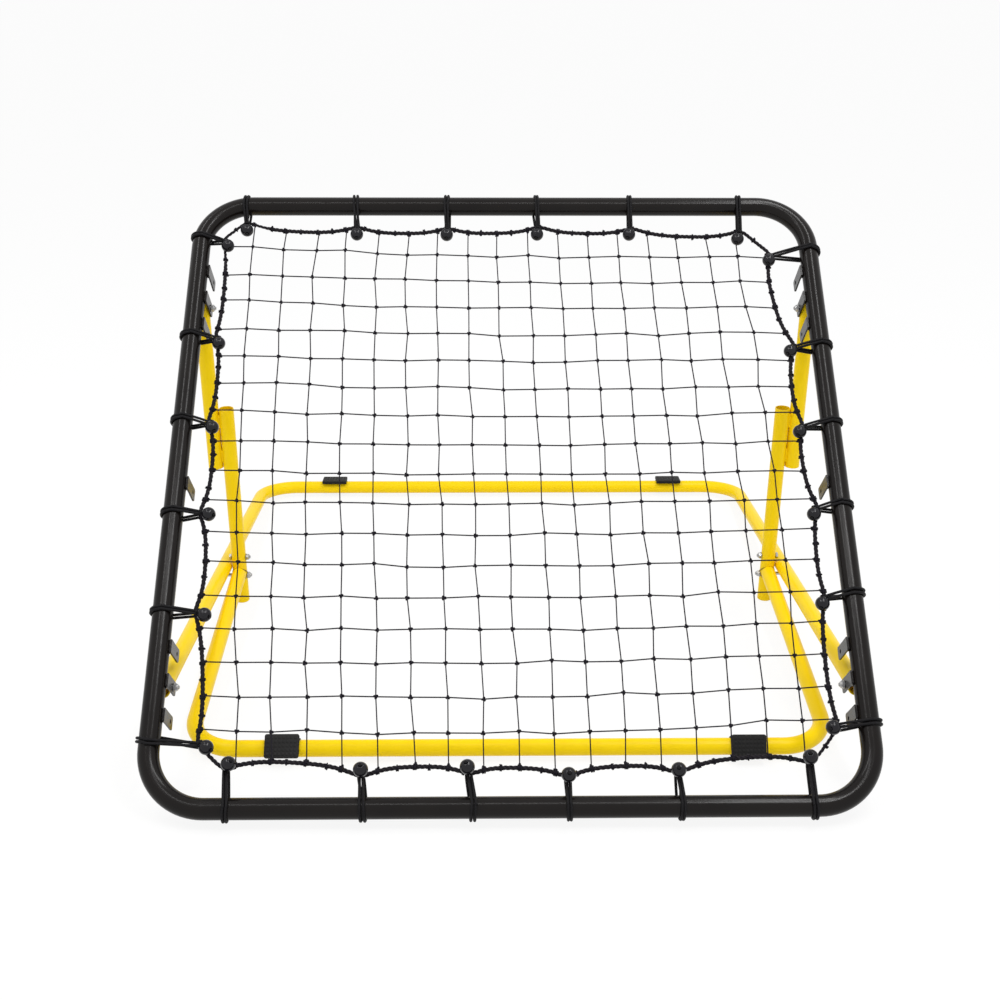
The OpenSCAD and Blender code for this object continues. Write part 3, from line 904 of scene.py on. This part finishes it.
def makeLashings(lashed):
    # wraps where each cord of the net meets the rope, and a small hitch half-way to the next
    bm = newBmesh()
    count = len(ropeLine)
    least, most = net["hitchGap"]
    for a, b in zip(lashed, lashed[1:] + [lashed[0] + count]):
        addWraps(bm, a, net["wraps"], anyTurn())
        if least < (b - a) * rope["step"] < most:
            half = round((a + b) / 2) + netRng.randint(-2, 2)
            addWraps(bm, half, net["hitchWraps"], anyTurn())
            at = half % count
            heading, side, up = ropeFrames[at]
            out = side * netRng.uniform(-1, 1) + up * netRng.choice((-1, 1))
            place = ropeLine[at] + out.normalized() * (rope["radius"] * ropeSize[at] + net["hitchOut"])
            addKnot(bm, place, net["knot"] * net["hitchKnot"], anyTurn(), net["hitchCord"])
    addPiece("netLashings", bm, netCord, "net_frame", "net_cord", "net_mesh", sharp=80)


makeLashings(makeNet())
print("net made")


def tieAxes(side):
    origin = onSide(side, 0, 0)
    along = onSide(side, 1, 0) - origin
    inward = onSide(side, 0, 1) - origin
    return along, inward


def pushedOut(start, end, centre, clear, normal):
    # where a straight run passes a cord too closely, moved out to the cord's skin; None if it's clear
    run = end - start
    share = max(0.0, min(1.0, (centre - start).dot(run) / run.dot(run)))
    near = start + run * share
    away = near - centre
    if away.dot(normal) < 0:
        away = away - normal * away.dot(normal) + normal * 0.2 * mm
    if away.length >= clear:
        return None
    return centre + away.normalized() * clear


def ropeGrip(t):
    return onSide(t["side"], t["ropeAlong"], t["ropeIn"])


def ballCentre(t):
    room = ties["ballReach"] ** 2 - t["ballAlong"] ** 2 - t["ballIn"] ** 2
    lift = sqrt(max(room, ties["leastLift"] ** 2))
    return onSide(t["side"], t["ropeAlong"] + t["ballAlong"], t["ropeIn"] + t["ballIn"], lift)


def addTie(bm, t, rng):
    along, inward = tieAxes(t["side"])
    cord, neckCord, shift = ties["cord"], ties["neckCord"], t["drift"]
    tube = onSide(t["side"], t["along"], t["tubeIn"])
    grip = ropeGrip(t)
    ball = ballCentre(t)
    toBall = (ball - grip).normalized()
    neck = grip + toBall * ((ball - grip).length * ties["neckShare"])
    across = along - toBall * along.dot(toBall)
    if across.length <= 0.35:   # the ball hangs nearly along the tube
        across = inward - toBall * inward.dot(toBall)
    across.normalize()
    top = across.cross(toBall)
    top = top if top.dot(netFront) + top.dot(inward) * 0.5 > 0 else -top
    wrap = frameRadius + ties["clear"] + cord
    small = rope["radius"] + cord + 0.2 * mm
    slope = asin((wrap - small) / (grip - tube).length)

    def strand(s):
        start = s * ties["pairGap"] / 2
        drift = rng.uniform(-0.3, 0.3) * ties["wander"]
        lean, rise = inward * (wrap * sin(slope)), netFront * (wrap * cos(slope))
        front = tube + along * (start + drift) + lean + rise
        back = tube + along * (start + shift) + lean - rise
        neckFront = neck + across * (s * neckCord * 0.95)
        under = neck + across * (s * ties["hitchHalf"]) - top * ties["hitchLow"]
        beside = neck + across * (s * ties["hitchSide"]) + top * 1.2 * mm
        wound = [pushedOut(front, neckFront, grip + along * start, small, netFront), front]
        for k in range(1, 12):
            spot = outward(inward, netFront, pi / 2 - slope + (pi + 2 * slope) * k / 12)
            wound.append(tube + along * (start + drift + shift * k / 12) + spot * wrap)
        wound += [back, pushedOut(back, under, grip + along * start, small, -netFront)]
        points = [(ball, neckCord), (neckFront, neckCord)]
        points += [(p, cord) for p in wound if p is not None]
        return points + [(under, neckCord), (beside, neckCord)]

    one, two = strand(1), strand(-1)
    route = one + [(neck + top * ties["hitchTop"], neckCord)] + two[::-1]
    line = smoothPath([p for p, r in route], False, 5)
    radii = []
    for (p, r), (q, nextR) in zip(route, route[1:]):
        radii += [r + (nextR - r) * k / 5 for k in range(5)]
    sweep(bm, line, radii + [route[-1][1]], 10, False, along)
    # the cord's knotted end shows on the far side of the ball
    knob = []
    for k in range(9):
        a = pi * k / 8
        high = ties["knobHalf"] * (1 - cos(a)) - ties["knobIn"]
        knob.append((high, max(0.1 * mm, ties["knob"] * sin(a))))
    lathe(bm, ball + toBall * (ties["ball"] + 0.2 * mm), toBall, knob, 12)


def addBall(bm, t):
    ball = ballCentre(t)
    r, bore, lip = ties["ball"], ties["bore"], ties["boreLip"]
    reach = asin((bore + lip) / r)
    profile = arc(r, pi - reach, reach, 24)
    end = r * cos(reach) - lip
    inside = [(end + lip * 0.7, bore + lip * 0.4), (end, bore)]
    profile += inside + [(-h, radius) for h, radius in inside[::-1]]
    lathe(bm, ball, (ball - ropeGrip(t)).normalized(), profile, 40, True)


def makeTies():
    rng = random.Random(ties["seed"])
    for side in sideNames:
        cords, balls = newBmesh(), newBmesh()
        for t in allTies:
            if t["side"] == side:
                addTie(cords, t, rng)
                addBall(balls, t)
        addPiece(side + "Ties", cords, elasticBraid, "net_frame", "elastic_cord", side + "_ties", sharp=80)
        node = side + "_tie_balls"
        addPiece(side + "TieBalls", balls, ballPlastic, "net_frame", "ball_plastic", node, sharp=60)


makeTies()
print("ties and balls made")


# frontNear: how far behind the bar's axis the sole starts; clipStart: where the clip starts, in degrees
# over the bar from behind; padTurn: how far each pad is turned up, in degrees from straight ahead
foot = {
    "length": 50 * mm, "pad": 35 * mm, "padThick": 6 * mm, "clip": 2.5 * mm, "sole": 11 * mm,
    "soleRelief": 4.5 * mm, "frontNear": 4 * mm, "round": 1.2 * mm, "corner": 3 * mm, "boreGap": 0.1 * mm,
    "studColumns": 8, "studRows": 5, "studWidth": 4.2 * mm, "studDepth": 4.4 * mm, "studLift": 0.9 * mm,
    "studCorner": 0.7 * mm, "studMargin": 5 * mm, "clipStart": {"front": 180, "back": 125},
    "padTurn": {"frontLeft": 47, "frontRight": 32, "backLeft": 95, "backRight": 95},
}


def clipSection(near, start):
    # the clip from under the pad over the bar and down to the sole: places behind and above the bar's axis
    far, soleStart = near + foot["sole"], near + foot["soleRelief"]
    bore = standRadius + foot["boreGap"]
    outer = arc(standRadius + foot["clip"], radians(start), 0.1 * pi, 24)
    outer += [(far, -2 * mm), (far, -barZ + 1 * mm), (far - 1 * mm, -barZ), (soleStart, -barZ)]
    return outer + arc(bore, -acos(near / bore), radians(start), 28)


def addClip(bm, centre, near, start):
    half, edge = foot["length"] / 2, foot["round"]
    rings = []
    for x, inset in ((-half, 1.0), (-half + edge * 0.3, 0.3), (-half + edge, 0),
                     (half - edge, 0), (half - edge * 0.3, 0.3), (half, 1.0)):
        ring = []
        for y, z in clipSection(near, start):
            away = Vector((y, z))
            onBore = away.length < standRadius + 0.5 * mm
            p = away - away.normalized() * (0 if onBore else inset * edge * 0.6)
            ring.append(bm.verts.new(centre + Vector((x, p.x, p.y))))
        rings.append(ring)
    skin(bm, rings)


def addSlab(bm, middle, out, wide, halfX, halfWide, corner, layers):
    # a flat block with rounded corners: layers give its heights and how far each draws in
    rings = []
    for height, inset in layers:
        ring = []
        for sx, sw, turn in ((1, 1, 0), (-1, 1, 90), (-1, -1, 180), (1, -1, 270)):
            for k in range(6):
                a = radians(turn + 18 * k)
                px = sx * (halfX - corner) + (corner - inset) * cos(a)
                pw = sw * (halfWide - corner) + (corner - inset) * sin(a)
                ring.append(bm.verts.new(middle + Vector((px, 0, 0)) + wide * pw + out * height))
        rings.append(ring)
    skin(bm, rings)


def addPad(bm, centre, turn):
    a = radians(turn)
    out = Vector((0, -cos(a), sin(a)))
    wide = Vector((0, sin(a), cos(a)))
    near = standRadius
    lift = foot["studLift"] * 0.5
    far = near + foot["padThick"] - lift
    layers = [(near, 0.6 * mm), (near + 0.5 * mm, 0)]
    layers += [(far - 1.0 * mm, 0), (far - 0.3 * mm, 0.3 * mm), (far, 1.0 * mm)]
    addSlab(bm, centre, out, wide, foot["length"] / 2, foot["pad"] / 2, foot["corner"], layers)
    studX, studWide, studCorner = foot["studWidth"] / 2, foot["studDepth"] / 2, foot["studCorner"]
    layers = [(far - 0.3 * mm, 0), (far + lift * 0.6, 0.1 * mm), (far + lift, 0.45 * mm)]
    rows, columns = foot["studRows"], foot["studColumns"]
    for row in range(rows):
        for column in range(columns):
            x = (column - (columns - 1) / 2) * (foot["length"] - foot["studMargin"]) / columns
            w = (row - (rows - 1) / 2) * (foot["pad"] - foot["studMargin"]) / rows
            place = centre + Vector((x, 0, 0)) + wide * w
            addSlab(bm, place, out, wide, studX, studWide, studCorner, layers)


def makeFeet():
    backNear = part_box("back_left_foot")[1].y - backBarY - foot["sole"]
    for end, body, barY, near in (("front", "front_feet", frontBarY, foot["frontNear"]),
                                  ("back", "back_base", backBarY, backNear)):
        for side in ("left", "right"):
            node = end + "_" + side + "_foot"
            centre = Vector((middleOf(node).x, barY, barZ))
            bm = newBmesh()
            addClip(bm, centre, near, foot["clipStart"][end])
            addPad(bm, centre, foot["padTurn"][end + side.title()])
            addPiece(end + side.title() + "Foot", bm, rubber, body, "foot_rubber", node, sharp=30)


makeFeet()
print("feet made")


metal = {
    "bolt": 3 * mm, "flats": 10 * mm, "nut": 5 * mm, "head": 4 * mm, "chamfer": 0.94,
    "thread": 1 * mm, "threadDepth": 0.45 * mm, "collar": 1.5 * mm, "pastNut": 2 * mm,
    "washer": 1.2 * mm, "washerRadius": 6 * mm, "washerGap": 0.25 * mm, "washerEdge": 0.2 * mm,
}


def addHex(bm, origin, axis, thickness, bore, turn):
    # a hexagonal nut or head whose corners are turned down at both faces
    side = axis.orthogonal().normalized()
    side.rotate(Quaternion(axis, turn))
    up = axis.cross(side)
    half = metal["flats"] / 2
    trim = half * metal["chamfer"]
    count = 72
    rings = []

    def ring(height, radiusAt):
        verts = []
        for k in range(count):
            a = 2 * pi * k / count
            hexRadius = half / cos((a + pi / 6) % (pi / 3) - pi / 6)
            r, drop = radiusAt(hexRadius)
            verts.append(bm.verts.new(origin + axis * (height + drop) + outward(side, up, a) * r))
        rings.append(verts)

    slope = tan(radians(30))
    ring(0, lambda h: (bore, 0))
    ring(0, lambda h: (trim, 0))
    ring(0, lambda h: (h, (h - trim) * slope))
    ring(thickness, lambda h: (h, -(h - trim) * slope))
    ring(thickness, lambda h: (trim, 0))
    ring(thickness, lambda h: (bore, 0))
    skin(bm, rings, True)


def threadProfile(start, end, radius):
    # ridges of a screw thread from start to end
    profile = []
    count = max(1, round(abs(end - start) / metal["thread"]))
    for k in range(count):
        at = start + (end - start) * k / count
        profile += [(at, radius - metal["threadDepth"]), (at + (end - start) / count / 2, radius)]
    return profile + [(end, radius - metal["threadDepth"])]


def addWasher(bm, origin, axis):
    t, r, edge = metal["washer"], metal["washerRadius"], metal["washerEdge"]
    bore = metal["bolt"] + metal["washerGap"]
    profile = [(0, bore), (0, r - edge), (edge, r), (t - edge, r), (t, r - edge), (t, bore)]
    lathe(bm, origin, axis, profile, 40, True)


def addLockNut(bm, origin, axis, turn):
    # its rounded collar is at the end away from the work
    collar, bore = metal["collar"], metal["bolt"] - 0.1 * mm
    addHex(bm, origin + axis * collar, axis, metal["nut"] - collar, bore, turn)
    profile = [(collar + 0.1 * mm, bore), (0.2 * mm, bore), (0, bore + 0.4 * mm), (0, 3.7 * mm),
               (0.25 * mm, 4.2 * mm), (0.8 * mm, 4.5 * mm), (collar + 0.1 * mm, 4.5 * mm)]
    lathe(bm, origin, axis, profile, 36, True)


def addBolt(bm, at, axis, tip, threadEnd, under, turn):
    # thread's end at tip, plain shank from threadEnd to the underside of the head
    r = metal["bolt"]
    profile = [(tip, r * 0.6), (tip + 0.4 * mm, r * 0.8)] + threadProfile(tip + 0.6 * mm, threadEnd, r)
    lathe(bm, at, axis, profile + [(threadEnd + 0.4 * mm, r), (under, r)], 28)
    addHex(bm, at + axis * under, axis, metal["head"], 0.3 * mm, turn)


def addMetal(name, bm, body, node):
    addPiece(name, bm, zinc, body, "zinc_plate", node, sharp=25)


def makePivots(name, node, middle, body):
    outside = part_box(node + "_washers")[1].x
    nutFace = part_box(node + "_nuts")[1].x
    at = Vector((0, middle.y, middle.z))
    bolts, washers, nuts = newBmesh(), newBmesh(), newBmesh()
    for side in (-1, 1):
        axis = Vector((side, 0, 0))
        tip = nutFace - metal["nut"] - metal["pastNut"]
        addBolt(bolts, at, axis, tip, nutFace + metal["pastNut"], outside, 0.4 * side)
        addWasher(washers, at + axis * (outside - metal["washer"]), axis)
        addWasher(washers, at + axis * nutFace, axis)
        addLockNut(nuts, at + axis * (nutFace - metal["nut"]), axis, 0.9 * side)
    addMetal(name + "PivotBolts", bolts, body, node + "_bolts")
    addMetal(name + "PivotWashers", washers, body, node + "_washers")
    addMetal(name + "PivotNuts", nuts, body, node + "_nuts")


def makePostBolts():
    low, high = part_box("right_post_bolts")
    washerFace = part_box("post_bolt_washers")[1].x
    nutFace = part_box("post_bolt_nuts")[1].x
    corner = metal["flats"] / 2 / cos(radians(30))
    washers, nuts = newBmesh(), newBmesh()
    for name, side in (("left", -1), ("right", 1)):
        bolts = newBmesh()
        axis = Vector((side, 0, 0))
        for z, under in ((high.z - corner, postX + standRadius), (low.z + corner, high.x - metal["head"])):
            at = Vector((0, postY, z))
            addBolt(bolts, at, axis, low.x, nutFace + metal["pastNut"], under, z * 9 + side)
            addWasher(washers, at + axis * (washerFace - metal["washer"]), axis)
            addLockNut(nuts, at + axis * (nutFace - metal["nut"]), axis, z * 7 + side)
        addMetal(name + "PostBolts", bolts, "stand", name + "_post_bolts")
    addMetal("postBoltWashers", washers, "stand", "post_bolt_washers")
    addMetal("postBoltNuts", nuts, "stand", "post_bolt_nuts")


makePivots("upper", "upper_pivot", highPivot, "stand")
makePivots("lower", "lower_pivot", lowPivot, "back_base")
makePostBolts()
print("fasteners made")


studio = {
    "floorSize": 60, "floorColour": 0.86, "glow": 1.03, "glowShare": 0.85, "worldLevel": 0.72,
    "lamps": (
        {"name": "leftStrip", "place": (-1.4, -0.6, 2.9), "size": (0.2, 2.2), "power": 18},
        {"name": "rightStrip", "place": (1.0, -0.5, 3.0), "size": (0.22, 2.2), "power": 30},
        {"name": "frontStrip", "place": (0.2, -1.2, 3.0), "size": (2.4, 0.18), "power": 16},
    ),
}


def seenDirectly(tree):
    # 1 for rays from the camera and for those that gloss and glass send on
    path = tree.nodes.new("ShaderNodeLightPath")
    seen = mathNode(tree, "MAXIMUM", path.outputs["Is Camera Ray"], path.outputs["Is Glossy Ray"])
    return mathNode(tree, "MAXIMUM", seen, path.outputs["Is Transmission Ray"])


def makeFloor():
    bm = bmesh.new()
    bmesh.ops.create_grid(bm, x_segments=1, y_segments=1, size=studio["floorSize"] / 2)
    mesh = bpy.data.meshes.new("floor")
    bm.to_mesh(mesh)
    bm.free()
    ground = bpy.data.objects.new("floor", mesh)
    link(ground)
    material, tree, shader = newMaterial("paleFloor", 0.9, specular=0.0)
    setInputs(shader, {"Base Color": (*[studio["floorColour"]] * 3, 1)})
    glow = tree.nodes.new("ShaderNodeEmission")
    setInputs(glow, {"Strength": studio["glow"]})
    mix = tree.nodes.new("ShaderNodeMixShader")
    tree.links.new(mathNode(tree, "MULTIPLY", seenDirectly(tree), studio["glowShare"]), mix.inputs[0])
    tree.links.new(shader.outputs[0], mix.inputs[1])
    tree.links.new(glow.outputs[0], mix.inputs[2])
    tree.links.new(mix.outputs[0], tree.nodes["Material Output"].inputs["Surface"])
    mesh.materials.append(material)


def makeWorld():
    world = bpy.data.worlds.new("studio")
    bpy.context.scene.world = world
    world.use_nodes = True
    tree = world.node_tree
    background = tree.nodes["Background"]
    setInputs(background, {"Color": (1, 1, 1, 1)})
    level = tree.nodes.new("ShaderNodeMapRange")
    tree.links.new(seenDirectly(tree), level.inputs["Value"])
    setInputs(level, {"To Min": studio["worldLevel"], "To Max": 1.0})
    tree.links.new(level.outputs["Result"], background.inputs["Strength"])


def makeLamps():
    for lamp in studio["lamps"]:
        data = bpy.data.lights.new(lamp["name"], "AREA")
        data.shape = "RECTANGLE"
        data.size, data.size_y = lamp["size"]
        data.energy = lamp["power"]
        piece = bpy.data.objects.new(lamp["name"], data)
        piece.location = lamp["place"]
        piece.rotation_euler = (0, atan2(piece.location.x, piece.location.z), 0)
        link(piece)


makeFloor()
makeWorld()
makeLamps()
bpy.context.scene.view_settings.view_transform = "Standard"
print("floor and light made")
